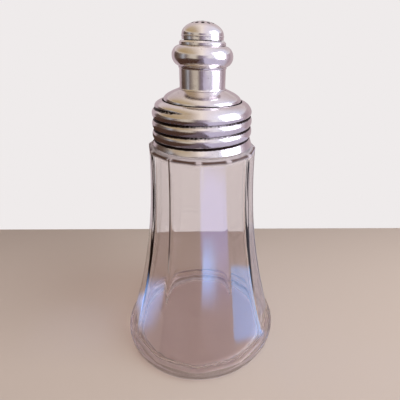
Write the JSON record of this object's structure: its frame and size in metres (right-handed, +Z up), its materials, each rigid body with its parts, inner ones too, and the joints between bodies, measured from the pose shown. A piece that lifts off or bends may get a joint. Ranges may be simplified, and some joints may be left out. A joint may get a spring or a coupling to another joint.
{
  "type": "sugar shaker",
  "caption": "Flared, panelled glass jar with a silver-plated screw cap whose domed crown is pierced for sprinkling sugar.",
  "frame": {"origin": "centre of the jar's foot, on the surface it stands on", "axes": "+Z up along the jar's axis; the front of the jar faces -Y and +X is to the viewer's right"},
  "size_m": [0.0796, 0.0796, 0.15],
  "materials": {
    "clear_glass": "clear pressed glass, fire polished",
    "silver_plate": "worn, polished silver plate on brass",
    "cork": "matte pressed cork"
  },
  "bodies": {
    "jar": {"glass_body": "clear_glass"},
    "washer": {"cork_gasket": "cork"},
    "cap": {"screw_collar": "silver_plate", "shoulder_dome": "silver_plate", "neck_tube": "silver_plate", "bead_knop": "silver_plate", "step_ring": "silver_plate", "pierced_crown": "silver_plate"}
  },
  "joints": [
    {"name": "cap_lift", "type": "slide", "parent": "jar", "child": "washer", "axis": [0, 0, 1], "range_m": [0, 0.00945]},
    {"name": "cap_turn", "type": "hinge", "parent": "washer", "child": "cap", "pos_m": [0, 0, 0.12], "axis": [0, 0, 1], "range_deg": [0, 810]}
  ],
  "couplings": [
    {"joint": "cap_turn", "follows": "cap_lift", "rad_per_m": 1496}
  ]
}
